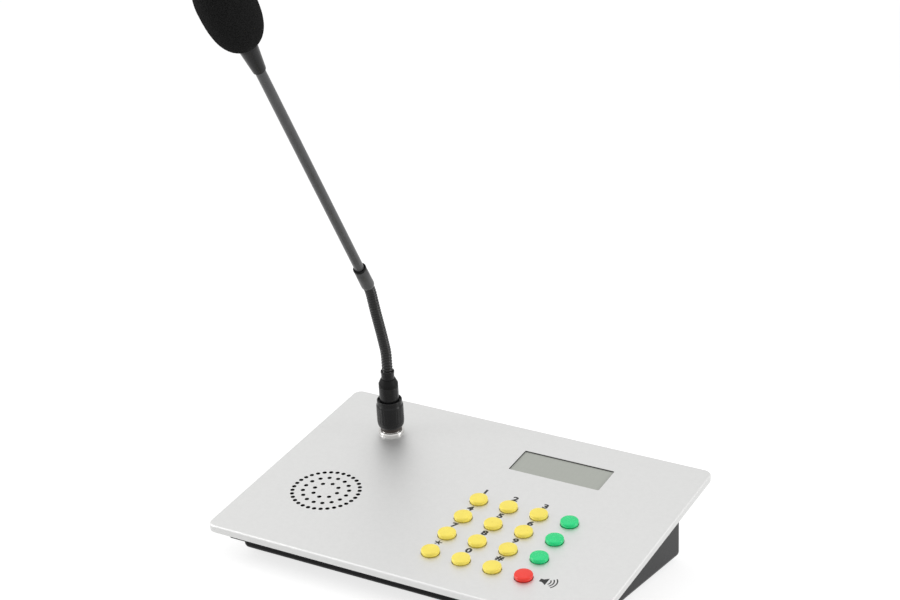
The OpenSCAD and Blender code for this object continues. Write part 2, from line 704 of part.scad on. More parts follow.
module speaker_cone() color([0.18, 0.18, 0.18]) on_speaker() {
    top = spk_flange_n - 0.8;
    deep = spk_flange_n - 8.5;
    rotate_extrude() polygon(concat(
        [[cone_r + 0.5, top], [cone_r + 0.5, top - 0.5], [cone_r - 1, top - 0.5], [6.5, deep - 0.5],
         [6.5, deep - 3], [6, deep - 3], [6, deep + 0.4], [0, deep + 1.9], [0, deep + 2.4],
         [6.4, deep + 1]],
        [[cone_r - 2.6, top], [cone_r - 1.8, top + 0.5], [cone_r - 1, top + 0.5]]));
}

module speaker_magnet() color([0.25, 0.25, 0.27]) on_speaker() rotate_extrude() polygon([
    [0, spk_flange_n - spk_depth], [magnet_r - 0.8, spk_flange_n - spk_depth],
    [magnet_r, spk_flange_n - spk_depth + 0.8],
    [magnet_r, spk_flange_n - spk_depth + magnet_h - hair],
    [8.2, spk_flange_n - spk_depth + magnet_h - hair],
    [8.2, spk_flange_n - spk_depth + 3], [5.2, spk_flange_n - spk_depth + 3],
    [5.2, spk_flange_n - spk_depth + magnet_h], [0, spk_flange_n - spk_depth + magnet_h]]);

module mic_socket() color([0.86, 0.86, 0.88]) on_socket() rotate_extrude() polygon(concat(
    [[sock_bore_r, sock_low], [sock_thread_r, sock_low], [sock_thread_r, 0], [sock_flange_r, 0]],
    arc([sock_flange_r - 1.2, sock_flange_t - 1.2], 1.2, 0, 90),
    [[sock_collar_r, sock_flange_t], [sock_collar_r, sock_top], [sock_bore_r, sock_top]]));

module socket_nut() color("silver") on_socket() translate([0, 0, -web_t - nut_t]) difference() {
    cylinder(r = sock_thread_r + 3.6, h = nut_t, $fn = 6);
    translate([0, 0, -1]) cylinder(r = sock_thread_r + 0.05, h = nut_t + 2);
}

module at_pins() for (a = [90, 210, 330]) rotate(a) translate([pin_circle, 0, 0]) children();

module socket_insert() color([0.1, 0.1, 0.1]) on_socket() {
    difference() {
        translate([0, 0, sock_low - 4])
            cylinder(r = sock_bore_r - hair, h = plug_skirt_low - 1 - sock_low + 4);
        at_pins() translate([0, 0, plug_skirt_low - pin_l - 1]) cylinder(r = pin_r + 0.15, h = pin_l + 5);
    }
    at_pins() translate([0, 0, sock_low - 8]) cylinder(r = 0.6, h = 4.5);
}

module plug_shell() color([0.16, 0.16, 0.17]) on_socket() rotate_extrude() polygon([
    [plug_skirt_r - 0.9, plug_skirt_low], [plug_skirt_r, plug_skirt_low], [plug_skirt_r, keeper_n],
    [keeper_r, keeper_n], [keeper_r, keeper_n + keeper_t], [plug_d / 2, keeper_n + keeper_t],
    [plug_d / 2, plug_top - 3.8], [ferrule_d / 2 + 0.3, plug_top],
    [spigot_r + hair, plug_top], [spigot_r + hair, plug_neck_n],
    [plug_skirt_r - 0.9, plug_neck_n - 2]]);

module plug_insert() color([0.12, 0.12, 0.12]) on_socket() {
    difference() {
        translate([0, 0, plug_skirt_low + 0.3]) cylinder(r = plug_skirt_r - 0.9 - hair, h = 6);
        at_pins() translate([0, 0, plug_skirt_low - 1]) cylinder(r = pin_r + hair, h = 9);
    }
    at_pins() translate([0, 0, plug_skirt_low - pin_l]) cylinder(r = pin_r, h = pin_l + 8);
}

module lock_ring() color([0.2, 0.2, 0.21]) on_socket() rotate_extrude() polygon([
    [sock_collar_r + loose, lock_low], [lock_d / 2 - 1, lock_low], [lock_d / 2 - 0.3, lock_low + 1.5],
    [lock_d / 2, lock_low + 4],
    [lock_d / 2, lock_top - 4.6], [lock_d / 2 - 0.35, lock_top - 3.4],
    [lock_d / 2 - 0.7, lock_top - 0.3], [lock_d / 2 - 1, lock_top], [plug_d / 2 + fit, lock_top],
    [plug_d / 2 + fit, keeper_n + keeper_t + fit], [sock_collar_r + loose, keeper_n + keeper_t + fit]]);

module neck_ferrule() color([0.14, 0.14, 0.15]) on_socket() rotate_extrude() polygon([
    [2, plug_neck_n - 1], [spigot_r, plug_neck_n - 1], [spigot_r, plug_top + 0.05],
    [ferrule_d / 2, plug_top + 0.05], [ferrule_d / 2, ferrule_top - 0.4], [ferrule_d / 2 - 0.4, ferrule_top],
    [neck_r + hair, ferrule_top], [neck_r + hair, plug_top + 1], [2, plug_top + 1]]);

module cup() sphere(neck_r + cup_gap);

// the ball end, with a bore that flares so that the cable can bend
flare = neck_r + 1;
module link_end() difference() {
    union() {
        sphere(neck_r);
        cylinder(r = neck_r, h = 1);
    }
    translate([0, 0, -eps]) cylinder(r = cable_bore_r, h = 2);
    translate([0, 0, -flare]) cylinder(r1 = cable_r + loose + flare * tan(bend_limit),
        r2 = cable_r + loose, h = flare);
}

// link 0 is fixed in the ferrule, link 7 in the collar, and the others turn on their ball ends
module neck_link(k) color([0.2, 0.2, 0.2]) {
    if (k == 0) on_socket() {
        difference() {
            translate([0, 0, plug_top + 1]) cylinder(r = neck_r, h = neck_start - cup_cut - plug_top - 1);
            translate([0, 0, neck_start]) cup();
            translate([0, 0, plug_top]) cylinder(r = cable_bore_r, h = neck_start);
        }
        translate([0, 0, plug_neck_n - 6]) cylinder(r = cable_r, h = neck_start - 0.7 - plug_neck_n + 6);
    }
    if (k > 0 && k < 7) on_link(k) {
        link_end();
        difference() {
            cylinder(r = neck_r, h = link_l - cup_cut);
            translate([0, 0, -1]) cylinder(r = cable_bore_r, h = link_l + 2);
            translate([0, 0, link_l]) cup();
        }
        translate([0, 0, 0.7]) cylinder(r = cable_r, h = link_l - 1.4);
    }
    if (k == 7) on_link(k) {
        link_end();
        tube(neck_r, cable_bore_r, collar_start + collar_in - 0.1);
    }
}

module rod_collar() color([0.22, 0.22, 0.23]) on_link(7) rotate_extrude() polygon([
    [neck_r + hair, collar_start], [neck_r + 0.2, collar_start], [collar_d / 2, collar_start + 1],
    [collar_d / 2, collar_start + collar_l - 0.4], [collar_d / 2 - 0.4, collar_start + collar_l],
    [rod_d / 2 + hair, collar_start + collar_l], [rod_d / 2 + hair, collar_start + collar_in],
    [neck_r + hair, collar_start + collar_in]]);

module rod_tube() color([0.35, 0.35, 0.36]) on_link(7) translate([0, 0, collar_start + collar_in])
    tube(rod_d / 2, rod_bore_r, rod_top + rod_in - collar_start - collar_in);

module rod_cable() color([0.1, 0.1, 0.1]) on_link(7) translate([0, 0, neck_r])
    cylinder(r = cable_r, h = rod_top + cable_in - neck_r);

module head_housing() color([0.17, 0.17, 0.18]) on_link(7) translate([0, 0, rod_top]) rotate_extrude()
    polygon([[rod_d / 2 + hair, 0], [rod_d / 2 + housing_step, 0], [head_d / 2, cone_l],
        [head_d / 2, cone_l + head_l], [head_d / 2 - head_wall, cone_l + head_l],
        [head_d / 2 - head_wall, cone_l + 2], [cable_r + hair, rod_in + 2],
        [cable_r + hair, rod_in + hair], [rod_d / 2 + hair, rod_in + hair]]);

module head_capsule() color([0.7, 0.65, 0.45]) on_link(7)
    translate([0, 0, rod_top + cone_l + head_l - capsule_gap - capsule_l])
        cylinder(r = head_d / 2 - head_wall - hair, h = capsule_l);

module head_grille() color([0.3, 0.3, 0.3]) on_link(7) translate([0, 0, rod_top + cone_l + head_l])
    difference() {
        rotate_extrude() polygon(concat(
            [[0, -1.4], [head_d / 2 - head_wall - hair, -1.4], [head_d / 2 - head_wall - hair, hair],
             [head_d / 2, hair]],
            [for (i = [0:8]) [head_d / 2 * cos(i * 11.25), 2 + (grille_h - 2) * sin(i * 11.25)]]));
        cylinder(r = head_d / 2 - 1.6, h = 2.4);
        translate([0, 0, -2]) cylinder(r = 2, h = 4);
    }

module windscreen() color([0.14, 0.14, 0.14]) on_link(7) translate([0, 0, rod_top + foam_start])
    rotate_extrude() {
        bore = head_d / 2 + foam_gap;
        top = cone_l + head_l + grille_h + foam_gap - foam_start;
        polygon(concat(
            [[bore, foam_low * 0.01]],
            [for (h = foam_heights) if (foam_r(h) > bore + 1 || h > foam_low) [foam_r(h), h]],
            [[0, foam_low + foam_high], [0, top], [bore - 1, top], [bore, top - 1]]));
    }

top_panel();
case_shell();
bottom_plate();
rubber_feet();
bottom_screws();
inner_screws();
display_lens();
display_cell();
display_frame();
display_board();
key_board();
key_switches();
main_board();
board_parts();
inner_wires();
network_socket();
power_socket();
audio_socket();
speaker_gasket();
speaker_frame();
speaker_cone();
speaker_magnet();
mic_socket();
socket_nut();
socket_insert();
plug_shell();
plug_insert();
lock_ring();
neck_ferrule();
neck_link(0);  // neck_link_0
neck_link(1);  // neck_link_1
neck_link(2);  // neck_link_2
neck_link(3);  // neck_link_3
neck_link(4);  // neck_link_4
neck_link(5);  // neck_link_5
neck_link(6);  // neck_link_6
neck_link(7);  // neck_link_7
rod_collar();
rod_tube();
rod_cable();
head_housing();
head_capsule();
head_grille();
windscreen();
color("khaki") key(0, 0);  // key_1
color("khaki") key(1, 0);  // key_2
color("khaki") key(2, 0);  // key_3
color("khaki") key(0, 1);  // key_4
color("khaki") key(1, 1);  // key_5
color("khaki") key(2, 1);  // key_6
color("khaki") key(0, 2);  // key_7
color("khaki") key(1, 2);  // key_8
color("khaki") key(2, 2);  // key_9
color("khaki") key(0, 3);  // key_star
color("khaki") key(1, 3);  // key_0
color("khaki") key(2, 3);  // key_hash
color("mediumseagreen") key(3, 0);  // key_green_1
color("mediumseagreen") key(3, 1);  // key_green_2
color("mediumseagreen") key(3, 2);  // key_green_3
color("tomato") key(3, 3);  // key_red
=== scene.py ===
"""Desktop paging microphone: the looks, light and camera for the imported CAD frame."""

import math

import bpy
from mathutils import Matrix, Vector


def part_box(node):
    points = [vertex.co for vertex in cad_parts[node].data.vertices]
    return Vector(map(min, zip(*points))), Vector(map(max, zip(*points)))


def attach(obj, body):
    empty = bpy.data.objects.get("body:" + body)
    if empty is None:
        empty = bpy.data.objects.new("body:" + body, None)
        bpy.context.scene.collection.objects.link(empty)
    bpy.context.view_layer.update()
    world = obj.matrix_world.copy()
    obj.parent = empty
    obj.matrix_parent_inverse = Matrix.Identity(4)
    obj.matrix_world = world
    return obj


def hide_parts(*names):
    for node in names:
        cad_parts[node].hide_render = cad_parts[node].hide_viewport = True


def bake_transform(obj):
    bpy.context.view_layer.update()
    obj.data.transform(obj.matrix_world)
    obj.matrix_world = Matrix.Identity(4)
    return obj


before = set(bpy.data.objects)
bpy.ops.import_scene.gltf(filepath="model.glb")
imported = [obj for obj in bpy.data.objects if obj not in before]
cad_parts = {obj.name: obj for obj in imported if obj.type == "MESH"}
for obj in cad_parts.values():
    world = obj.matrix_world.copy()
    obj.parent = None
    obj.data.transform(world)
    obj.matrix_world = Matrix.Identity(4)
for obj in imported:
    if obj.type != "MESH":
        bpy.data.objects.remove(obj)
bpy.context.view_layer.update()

MM = 0.001

# The panel's own frame, in millimetres: u to the right, v to the back, n out of its face.
TILT = math.radians(12.8)
PANEL_Z = 43.5
PANEL = (
    Matrix.Scale(MM, 4)
    @ Matrix.Translation((0.0, 0.0, PANEL_Z))
    @ Matrix.Rotation(TILT, 4, "X")
)

KEY_PITCH = 22.0
FIRST_KEY = (12.1, 0.4)
KEY_NAMES = (
    ("key_1", "key_2", "key_3", "key_green_1"),
    ("key_4", "key_5", "key_6", "key_green_2"),
    ("key_7", "key_8", "key_9", "key_green_3"),
    ("key_star", "key_0", "key_hash", "key_red"),
)
LEGENDS = (("1", "2", "3"), ("4", "5", "6"), ("7", "8", "9"), ("*", "0", "#"))
LEGEND_HEIGHT = 4.85
STAR_REACH = 2.3
STAR_ARM = 0.85
LEGEND_STRETCH = 1.2
LEGEND_BOLD = 0.32
FONT_SIZE_PER_HEIGHT = 1.38
LEGEND_OFFSET = (-1.0, 12.1)
SYMBOL_OFFSET = (14.2, 1.6)
SYMBOL_SCALE = 1.45
INK_HEIGHT = 0.03

SOUND_RINGS = ((8.6, 8), (15.65, 16), (22.7, 32))
SPEAKER = (-87.5, -29.7)
SOUND_HOLE_R = 1.5
SOUND_WEB = 0.8
WINDOW = (44.9, 57.3, 66.7, 25.9)
WINDOW_R = 1.0
WEB = 2.5
WINDOW_GAP = 0.2

SOCKET = (-85.9, 55.7)
NECK_START = 62.5
NECK_R = 3.8
NECK_LOW = 43.7
LINK = 9.5
LEAN = (0.0, 14.5, 14.5, 16.0, 16.0, 14.0, 14.0, 28.4)
RIB_PITCH = 2.24
RIB_DEPTH = 0.75
ROD_TOP = 220.0
FOAM_START = 22.0
FOAM_R = 17.3
FOAM_LOW = 36.0
FOAM_HIGH = 28.5
FOAM_BORE = 6.3
FOAM_BORE_TOP = 36.8


# Node materials.


def new_material(name, colour, roughness, metallic=0.0):
    """A material with its Principled shader's plain values set."""
    material = bpy.data.materials.new(name)
    material.use_nodes = True
    shader = material.node_tree.nodes["Principled BSDF"]
    shader.inputs["Base Color"].default_value = (*colour, 1.0)
    shader.inputs["Roughness"].default_value = roughness
    shader.inputs["Metallic"].default_value = metallic
    return material, shader


def add_noise(material, scale, detail=3.0, stretch=(1.0, 1.0, 1.0)):
    """A noise texture in the object's own coordinates; its features are about 1/scale metres wide."""
    nodes = material.node_tree.nodes
    links = material.node_tree.links
    place_node = nodes.new("ShaderNodeTexCoord")
    mapping = nodes.new("ShaderNodeMapping")
    mapping.inputs["Scale"].default_value = stretch
    noise = nodes.new("ShaderNodeTexNoise")
    noise.inputs["Scale"].default_value = scale
    noise.inputs["Detail"].default_value = detail
    links.new(place_node.outputs["Object"], mapping.inputs["Vector"])
    links.new(mapping.outputs["Vector"], noise.inputs["Vector"])
    return noise


def vary_colour(material, shader, noise, low, high):
    """The colour moves between two tones with the noise."""
    ramp = material.node_tree.nodes.new("ShaderNodeValToRGB")
    ramp.color_ramp.elements[0].position = 0.3
    ramp.color_ramp.elements[1].position = 0.7
    ramp.color_ramp.elements[0].color = (*low, 1.0)
    ramp.color_ramp.elements[1].color = (*high, 1.0)
    links = material.node_tree.links
    links.new(noise.outputs["Fac"], ramp.inputs["Fac"])
    links.new(ramp.outputs["Color"], shader.inputs["Base Color"])


def vary_roughness(material, shader, noise, low, high):
    """The roughness moves between two values with the noise."""
    span = material.node_tree.nodes.new("ShaderNodeMapRange")
    span.inputs["From Min"].default_value = 0.3
    span.inputs["From Max"].default_value = 0.7
    span.inputs["To Min"].default_value = low
    span.inputs["To Max"].default_value = high
    links = material.node_tree.links
    links.new(noise.outputs["Fac"], span.inputs["Value"])
    links.new(span.outputs["Result"], shader.inputs["Roughness"])


def add_bump(material, shader, noise, height):
    """Small relief from the noise; height is in metres."""
    bump = material.node_tree.nodes.new("ShaderNodeBump")
    bump.inputs["Strength"].default_value = 1.0
    bump.inputs["Distance"].default_value = height
    links = material.node_tree.links
    links.new(noise.outputs["Fac"], bump.inputs["Height"])
    links.new(bump.outputs["Normal"], shader.inputs["Normal"])


def shade(colour, factor):
    """The same hue, lighter or darker."""
    return tuple(min(1.0, c * factor) for c in colour)


def grained(name, colour, roughness, metallic=0.0, grain=1500.0, relief=0.00002, contrast=0.06):
    """A surface with a slight change of tone, gloss and relief at one grain size."""
    material, shader = new_material(name, colour, roughness, metallic)
    fine = add_noise(material, grain)
    broad = add_noise(material, grain * 0.12, 4.0)
    vary_colour(material, shader, broad, shade(colour, 1.0 - contrast), shade(colour, 1.0 + contrast))
    vary_roughness(material, shader, fine, roughness * 0.88, roughness * 1.12)
    add_bump(material, shader, fine, relief)
    return material, shader


def plastic(name, colour, roughness, gloss=0.5):
    """Moulded plastic with a faint orange-peel relief."""
    material, shader = grained(name, colour, roughness, grain=900.0, relief=0.000012, contrast=0.04)
    shader.inputs["Specular IOR Level"].default_value = gloss
    return material


def make_materials():
    """Every finish of the part, by a plain name."""
    made = {}
    aluminium, shader = grained(
        "satin_aluminium", (0.672, 0.672, 0.666), 0.52, 1.0, grain=2600.0, relief=0.000008, contrast=0.012
    )
    made["aluminium"] = aluminium
    case, shader = grained("case_paint", (0.006, 0.006, 0.0065), 0.36, grain=1800.0, relief=0.00003)
    shader.inputs["Specular IOR Level"].default_value = 0.14
    made["case"] = case
    made["bottom"] = grained("bottom_paint", (0.02, 0.02, 0.021), 0.5, grain=1500.0, relief=0.00004)[0]
    made["rubber"] = grained("foot_rubber", (0.018, 0.018, 0.018), 0.8, grain=1200.0, relief=0.00005)[0]
    made["key_yellow"] = plastic("key_yellow", (0.98, 0.80, 0.12), 0.30, 0.4)
    made["key_green"] = plastic("key_green", (0.008, 0.68, 0.22), 0.26, 0.45)
    made["key_red"] = plastic("key_red", (0.90, 0.035, 0.02), 0.24, 0.45)
    made["ink"] = grained("ink", (0.012, 0.012, 0.012), 0.6, grain=2500.0, relief=0.000008)[0]
    made["window"] = window_material()
    made["chrome"] = grained(
        "chrome", (0.60, 0.59, 0.575), 0.18, 1.0, grain=500.0, relief=0.000004, contrast=0.02
    )[0]
    made["plug"] = black_finish("plug_black", (0.008, 0.008, 0.0085), 0.26, 0.22)
    made["sleeve"] = black_finish("sleeve_rubber", (0.004, 0.004, 0.004), 0.5, 0.15)
    # Dark brown: painted shade and painted reflection of the lock ring on the socket's collar.
    made["seal"] = grained("seal_rubber", (0.020, 0.012, 0.008), 0.5, grain=1500.0)[0]
    made["neck"] = black_finish("neck_coil", (0.004, 0.004, 0.004), 0.22, 0.38)
    made["collar"] = black_finish("collar_grey", (0.045, 0.045, 0.046), 0.32, 0.45)
    made["rod"] = rod_material()
    made["foam"] = foam_material()
    made["mesh"] = grained("grille_mesh", (0.03, 0.03, 0.03), 0.5, 1.0, grain=1500.0, relief=0.00006)[0]
    made["board"] = grained(
        "board_green", (0.02, 0.16, 0.07), 0.45, grain=900.0, relief=0.00001, contrast=0.2
    )[0]
    made["black"] = grained("black_plastic", (0.014, 0.014, 0.014), 0.5, grain=1300.0, relief=0.00002)[0]
    made["zinc"] = grained("zinc_plate", (0.62, 0.61, 0.58), 0.30, 1.0, grain=1200.0, contrast=0.08)[0]
    made["tin"] = grained("tin_plate", (0.66, 0.66, 0.66), 0.34, 1.0, grain=700.0, contrast=0.05)[0]
    made["black_steel"] = grained("black_oxide", (0.05, 0.05, 0.05), 0.38, 1.0, grain=1200.0)[0]
    made["gold"] = grained("gold_plate", (0.90, 0.66, 0.26), 0.22, 1.0, grain=900.0, contrast=0.05)[0]
    made["wire"] = grained("wire_red", (0.42, 0.03, 0.02), 0.45, grain=1500.0)[0]
    made["magnet"] = grained("ferrite", (0.05, 0.05, 0.055), 0.6, 0.3, grain=1000.0, relief=0.00004)[0]
    made["cone"] = grained("cone_paper", (0.014, 0.014, 0.014), 0.75, grain=800.0, relief=0.00006)[0]
    made["cell"] = grained("display_cell", (0.36, 0.38, 0.32), 0.3, grain=1200.0, relief=0.000002)[0]
    return made


def black_finish(name, colour, roughness, gloss):
    """Satin black, whose gloss is weaker than that of plain plastic."""
    material, shader = grained(name, colour, roughness, grain=2000.0, relief=0.000012)
    shader.inputs["Specular IOR Level"].default_value = gloss
    return material


def window_material():
    """The clear window over a plain grey-green display with a faint raster."""
    material, shader = new_material("display_window", (0.392, 0.406, 0.368), 0.16)
    shader.inputs["Specular IOR Level"].default_value = 0.5
    nodes = material.node_tree.nodes
    links = material.node_tree.links
    coordinates = nodes.new("ShaderNodeTexCoord")
    bricks = nodes.new("ShaderNodeTexBrick")
    bricks.offset = 0.0
    bricks.squash = 1.0
    bricks.inputs["Scale"].default_value = 1000.0
    bricks.inputs["Mortar Size"].default_value = 0.25
    bricks.inputs["Mortar Smooth"].default_value = 0.6
    bricks.inputs["Brick Width"].default_value = 3.8
    bricks.inputs["Row Height"].default_value = 6.2
    bricks.inputs["Color1"].default_value = (0.395, 0.410, 0.371, 1.0)
    bricks.inputs["Color2"].default_value = (0.389, 0.404, 0.365, 1.0)
    bricks.inputs["Mortar"].default_value = (0.382, 0.397, 0.358, 1.0)
    links.new(coordinates.outputs["Object"], bricks.inputs["Vector"])
    links.new(bricks.outputs["Color"], shader.inputs["Base Color"])
    haze = add_noise(material, 60.0, 2.0)
    vary_roughness(material, shader, haze, 0.14, 0.20)
    return material


def rod_material():
    """Dark grey satin paint on the tube, with fine scuffs along it."""
    material, shader = new_material("rod_paint", (0.050, 0.050, 0.052), 0.30)
    fine = add_noise(material, 1800.0)
    scuffs = add_noise(material, 160.0, 5.0, (1.0, 1.0, 0.12))
    vary_colour(material, shader, scuffs, (0.042, 0.042, 0.044), (0.058, 0.058, 0.060))
    vary_roughness(material, shader, scuffs, 0.24, 0.34)
    add_bump(material, shader, fine, 0.00001)
    return material


def foam_material():
    """Open-cell foam: a dark matt skin full of small pores, painted darker in their pits as painted shade.
    """
    material, shader = new_material("foam", (0.010, 0.010, 0.010), 1.0)
    shader.inputs["Specular IOR Level"].default_value = 0.04
    nodes = material.node_tree.nodes
    links = material.node_tree.links
    coordinates = nodes.new("ShaderNodeTexCoord")
    pores = nodes.new("ShaderNodeTexVoronoi")
    pores.inputs["Scale"].default_value = 1250.0
    links.new(coordinates.outputs["Object"], pores.inputs["Vector"])
    # The colour follows the depth of the pores: darker in the pits, as painted shade.
    ramp = nodes.new("ShaderNodeValToRGB")
    ramp.color_ramp.elements[0].position = 0.1
    ramp.color_ramp.elements[1].position = 0.6
    ramp.color_ramp.elements[0].color = (0.005, 0.005, 0.005, 1.0)
    ramp.color_ramp.elements[1].color = (0.016, 0.016, 0.016, 1.0)
    links.new(pores.outputs["Distance"], ramp.inputs["Fac"])
    links.new(ramp.outputs["Color"], shader.inputs["Base Color"])
    bump = nodes.new("ShaderNodeBump")
    bump.inputs["Strength"].default_value = 1.0
    bump.inputs["Distance"].default_value = 0.0004
    links.new(pores.outputs["Distance"], bump.inputs["Height"])
    links.new(bump.outputs["Normal"], shader.inputs["Normal"])
    return material


# Meshes.


def add_mesh(name, points, faces, material, sharp=math.radians(38)):
    """A smooth-shaded object whose sharper edges stay crisp.
    The points are in the part's frame, in metres."""
    mesh = bpy.data.meshes.new(name)
    mesh.from_pydata([tuple(p) for p in points], [], faces)
    mesh.shade_smooth()
    mesh.set_sharp_from_angle(angle=sharp)
    mesh.materials.append(material)
    piece = bpy.data.objects.new(name, mesh)
    bpy.context.scene.collection.objects.link(piece)
    return piece


def fillet(points, radius, steps=4):
    """The corners of an open outline, rounded by a radius that shrinks where two corners are close."""
    rounded = [Vector(points[0])]
    for before, corner, after in zip(points, points[1:], points[2:]):
        corner = Vector(corner)
        to_before = Vector(before) - corner
        to_after = Vector(after) - corner
        reach = min(radius, to_before.length * 0.45, to_after.length * 0.45)
        start = corner + to_before.normalized() * reach
        end = corner + to_after.normalized() * reach
        for step in range(steps + 1):
            t = step / steps
            rounded.append(start * (1 - t) ** 2 + corner * (2 * t * (1 - t)) + end * t * t)
    rounded.append(Vector(points[-1]))
    return [(p.x, p.y) for p in rounded]


def lathe(name, outline, matrix, material, count=96, shape=None, closed=False):
    """A turned solid. The outline is (radius, height) in millimetres, from one end of the axis to the other,
    or a closed loop round a bore. shape(radius, height, angle) may change the radius."""
    points = []
    rings = []
    for radius, height in outline:
        if radius < 1e-6:
            points.append(matrix @ Vector((0.0, 0.0, height)))
            rings.append([len(points) - 1])
            continue
        ring = []
        for index in range(count):
            angle = 2 * math.pi * index / count
            r = shape(radius, height, angle) if shape else radius
            points.append(matrix @ Vector((r * math.cos(angle), r * math.sin(angle), height)))
            ring.append(len(points) - 1)
        rings.append(ring)
    faces = []
    pairs = list(zip(rings, rings[1:]))
    if closed:
        pairs.append((rings[-1], rings[0]))
    for low, high in pairs:
        faces.extend(band(low, high, count))
    return add_mesh(name, points, faces, material)


def band(low, high, count):
    """The faces between two rings, where a ring of one point is a pole."""
    if len(low) == 1:
        return [(low[0], high[(i + 1) % count], high[i]) for i in range(count)]
    if len(high) == 1:
        return [(low[i], low[(i + 1) % count], high[0]) for i in range(count)]
    return [(low[i], low[(i + 1) % count], high[(i + 1) % count], high[i]) for i in range(count)]


# The keys and their legends.


def key_place(column, row):
    """The middle of a key, in the panel's u and v."""
    return FIRST_KEY[0] + column * KEY_PITCH, FIRST_KEY[1] - row * KEY_PITCH


def key_outline():
    """Half the section of a key: plunger, retaining flange, side wall, rounded rim and low dome."""
    low = [(0.0, -7.6), (1.7, -7.6), (1.7, -3.65), (7.35, -3.65), (7.35, -2.65), (5.6, -2.65)]
    rim = [(5.6, -0.1), (5.75, 0.15), (5.92, 0.4), (6.0, 0.8), (6.0, 2.0)]
    for step in range(1, 8):
        angle = math.radians(step * 75 / 8)
        rim.append((4.9 + 1.1 * math.cos(angle), 2.0 + 1.08 * math.sin(angle)))
    dome = []
    for step in range(9):
        t = step / 8
        dome.append((5.1 * (1 - t), 3.06 + 0.24 * (1 - (1 - t) ** 2)))
    return low + rim + dome


def build_keys(materials):
    """A domed cap with its plunger in place of each plain key."""
    outline = key_outline()
    for row, names in enumerate(KEY_NAMES):
        for column, name in enumerate(names):
            u, v = key_place(column, row)
            finish = "key_yellow"
            if name.startswith("key_green"):
                finish = "key_green"
            if name == "key_red":
                finish = "key_red"
            matrix = PANEL @ Matrix.Translation((u, v, 0.0))
            cap = lathe("cap_" + name, outline, matrix, materials[finish], 64)
            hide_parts(name)
            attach(cap, name)


def text_mesh(name, text, height, matrix, material):
    """One printed character as a thin flat mesh, centred on its place."""
    curve = bpy.data.curves.new(name + "_curve", "FONT")
    curve.body = text
    curve.size = height * FONT_SIZE_PER_HEIGHT
    curve.offset = LEGEND_BOLD
    curve.extrude = INK_HEIGHT / 2
    curve.align_x = "CENTER"
    curve.align_y = "CENTER"
    curve.resolution_u = 4
    letter = bpy.data.objects.new(name + "_letter", curve)
    bpy.context.scene.collection.objects.link(letter)
    bpy.context.view_layer.update()
    mesh = bpy.data.meshes.new_from_object(letter.evaluated_get(bpy.context.evaluated_depsgraph_get()))
    bpy.data.objects.remove(letter)
    xs = [point.co.x for point in mesh.vertices]
    ys = [point.co.y for point in mesh.vertices]
    centre = Matrix.Translation((-(min(xs) + max(xs)) / 2, -(min(ys) + max(ys)) / 2, 0.0))
    mesh.transform(matrix @ Matrix.Diagonal((LEGEND_STRETCH, 1.0, 1.0, 1.0)) @ centre)
    mesh.name = name
    mesh.materials.clear()
    mesh.materials.append(material)
    piece = bpy.data.objects.new(name, mesh)
    bpy.context.scene.collection.objects.link(piece)
    return piece


def star_mesh(name, matrix, material):
    """The five-armed star of the keypad as a thin flat mesh."""
    half = STAR_ARM / 2
    notch = half / math.sin(math.pi / 5)
    outline = []
    for arm in range(5):
        turn = math.pi / 2 + arm * 2 * math.pi / 5
        for along, across in ((STAR_REACH, -half), (STAR_REACH, half)):
            u = along * math.cos(turn) - across * math.sin(turn)
            v = along * math.sin(turn) + across * math.cos(turn)
            outline.append((LEGEND_STRETCH * u, v))
        u = notch * math.cos(turn + math.pi / 5)
        v = notch * math.sin(turn + math.pi / 5)
        outline.append((LEGEND_STRETCH * u, v))
    points, faces = prism(outline, -INK_HEIGHT / 2, INK_HEIGHT / 2)
    points = [matrix @ Vector(point) for point in points]
    return add_mesh(name, points, faces, material, math.radians(20))


def build_legends(materials):
    """The black characters printed behind the number keys."""
    for row, texts in enumerate(LEGENDS):
        for column, text in enumerate(texts):
            u, v = key_place(column, row)
            u += LEGEND_OFFSET[0]
            v += LEGEND_OFFSET[1]
            matrix = PANEL @ Matrix.Translation((u, v, 0.0))
            name = "legend_" + KEY_NAMES[row][column]
            if text == "*":
                piece = star_mesh(name, matrix, materials["ink"])
            else:
                piece = text_mesh(name, text, LEGEND_HEIGHT, matrix, materials["ink"])
            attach(piece, "console")


def prism(outline, low, high):
    """Points and faces of a flat shape between two heights."""
    count = len(outline)
    points = [(x, y, low) for x, y in outline] + [(x, y, high) for x, y in outline]
    faces = [tuple(range(count - 1, -1, -1)), tuple(range(count, 2 * count))]
    for i in range(count):
        j = (i + 1) % count
        faces.append((i, j, count + j, count + i))
    return points, faces


def wave(radius, width, spread=42.0, steps=14):
    """The outline of one sound wave: a short arc of even width."""
    outer = []
    inner = []
    for step in range(steps + 1):
        angle = math.radians(-spread + 2 * spread * step / steps)
        outer.append(((radius + width / 2) * math.cos(angle), (radius + width / 2) * math.sin(angle)))
        inner.append(((radius - width / 2) * math.cos(angle), (radius - width / 2) * math.sin(angle)))
    return outer + inner[::-1]


def build_symbol(materials):
    """A plain loudspeaker symbol printed beside the red key."""
    u, v = key_place(3, 3)
    matrix = PANEL @ Matrix.Translation((u + SYMBOL_OFFSET[0], v + SYMBOL_OFFSET[1], 0.0))
    matrix = matrix @ Matrix.Diagonal((SYMBOL_SCALE, SYMBOL_SCALE, 1.0, 1.0))
    horn = [(-2.6, -1.1), (-1.1, -1.1), (0.9, -2.6), (0.9, 2.6), (-1.1, 1.1), (-2.6, 1.1)]
    shapes = [horn, wave(2.4, 0.6), wave(3.8, 0.6), wave(5.2, 0.6)]
    points = []
    faces = []
    for shape in shapes:
        some, flats = prism(shape, -INK_HEIGHT / 2, INK_HEIGHT / 2)
        faces.extend(tuple(i + len(points) for i in face) for face in flats)
        points.extend(matrix @ Vector(p) for p in some)
    piece = add_mesh("legend_speaker_symbol", points, faces, materials["ink"], math.radians(20))
    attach(piece, "console")


